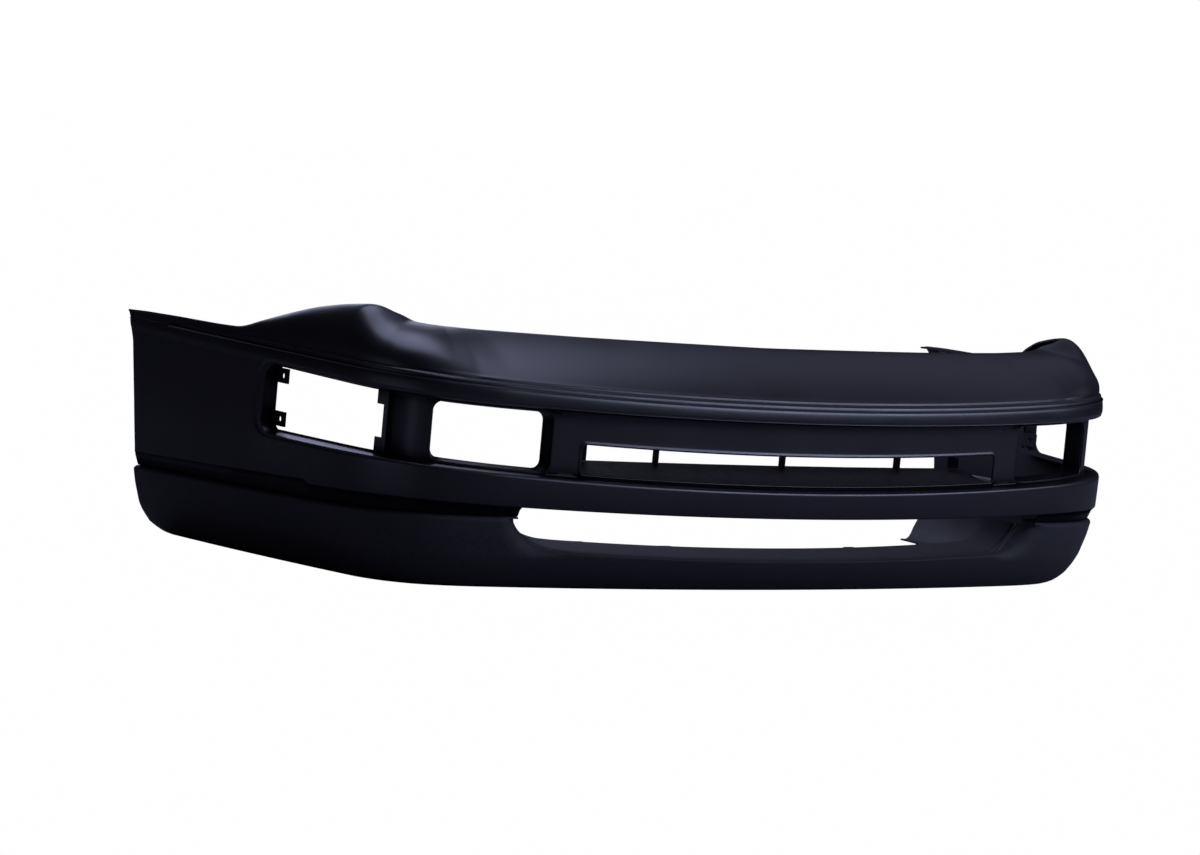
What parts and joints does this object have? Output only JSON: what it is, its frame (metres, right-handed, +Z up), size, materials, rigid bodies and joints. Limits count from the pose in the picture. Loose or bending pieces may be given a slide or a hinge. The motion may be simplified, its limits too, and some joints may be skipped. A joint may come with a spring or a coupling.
{
  "type": "bumper cover",
  "caption": "Front bumper cover for a low coupe: wraparound fascia with lamp openings and centre slot, grained air dam with intake, push-rivet joints.",
  "frame": {"origin": "under the middle of the cover, on the floor it stands on", "axes": "+X the viewer's right across the car, the front faces -Y, +Z up"},
  "size_m": [1.7844, 0.772, 0.441],
  "materials": {
    "fascia_plastic": "satin moulded surface, smooth",
    "dam_plastic": "fine moulded grain",
    "duct_plastic": "plain moulded",
    "nylon": "plain moulded",
    "coated_steel": "black coating"
  },
  "bodies": {
    "cover": {"air_dam": "dam_plastic", "driving_lamp_surround_left": "fascia_plastic", "driving_lamp_surround_right": "fascia_plastic", "ear_tab_left": "fascia_plastic", "ear_tab_right": "fascia_plastic", "fascia": "fascia_plastic", "fender_retainer_left": "coated_steel", "fender_retainer_right": "coated_steel", "intake_tabs": "dam_plastic", "rivet_sleeves": "nylon", "slot_bracket_left": "duct_plastic", "slot_bracket_right": "duct_plastic", "slot_shelf": "duct_plastic", "slot_stay_centre": "duct_plastic", "slot_stay_left": "duct_plastic", "slot_stay_right": "duct_plastic", "turn_lamp_frame_left": "fascia_plastic", "turn_lamp_frame_right": "fascia_plastic"},
    "push_pin_left_1": {"push_pin_left_1": "nylon"},
    "push_pin_left_2": {"push_pin_left_2": "nylon"},
    "push_pin_left_3": {"push_pin_left_3": "nylon"},
    "push_pin_left_4": {"push_pin_left_4": "nylon"},
    "push_pin_left_5": {"push_pin_left_5": "nylon"},
    "push_pin_right_1": {"push_pin_right_1": "nylon"},
    "push_pin_right_2": {"push_pin_right_2": "nylon"},
    "push_pin_right_3": {"push_pin_right_3": "nylon"},
    "push_pin_right_4": {"push_pin_right_4": "nylon"},
    "push_pin_right_5": {"push_pin_right_5": "nylon"}
  },
  "joints": [
    {"name": "push_pin_left_1_slide", "type": "slide", "parent": "cover", "child": "push_pin_left_1", "axis": [0, 0, -1], "range_m": [0, 0.008]},
    {"name": "push_pin_left_2_slide", "type": "slide", "parent": "cover", "child": "push_pin_left_2", "axis": [0, 0, -1], "range_m": [0, 0.008]},
    {"name": "push_pin_left_3_slide", "type": "slide", "parent": "cover", "child": "push_pin_left_3", "axis": [0, 0, -1], "range_m": [0, 0.008]},
    {"name": "push_pin_left_4_slide", "type": "slide", "parent": "cover", "child": "push_pin_left_4", "axis": [0, 0, -1], "range_m": [0, 0.008]},
    {"name": "push_pin_left_5_slide", "type": "slide", "parent": "cover", "child": "push_pin_left_5", "axis": [0, 0, -1], "range_m": [0, 0.008]},
    {"name": "push_pin_right_1_slide", "type": "slide", "parent": "cover", "child": "push_pin_right_1", "axis": [0, 0, -1], "range_m": [0, 0.008]},
    {"name": "push_pin_right_2_slide", "type": "slide", "parent": "cover", "child": "push_pin_right_2", "axis": [0, 0, -1], "range_m": [0, 0.008]},
    {"name": "push_pin_right_3_slide", "type": "slide", "parent": "cover", "child": "push_pin_right_3", "axis": [0, 0, -1], "range_m": [0, 0.008]},
    {"name": "push_pin_right_4_slide", "type": "slide", "parent": "cover", "child": "push_pin_right_4", "axis": [0, 0, -1], "range_m": [0, 0.008]},
    {"name": "push_pin_right_5_slide", "type": "slide", "parent": "cover", "child": "push_pin_right_5", "axis": [0, 0, -1], "range_m": [0, 0.008]}
  ]
}
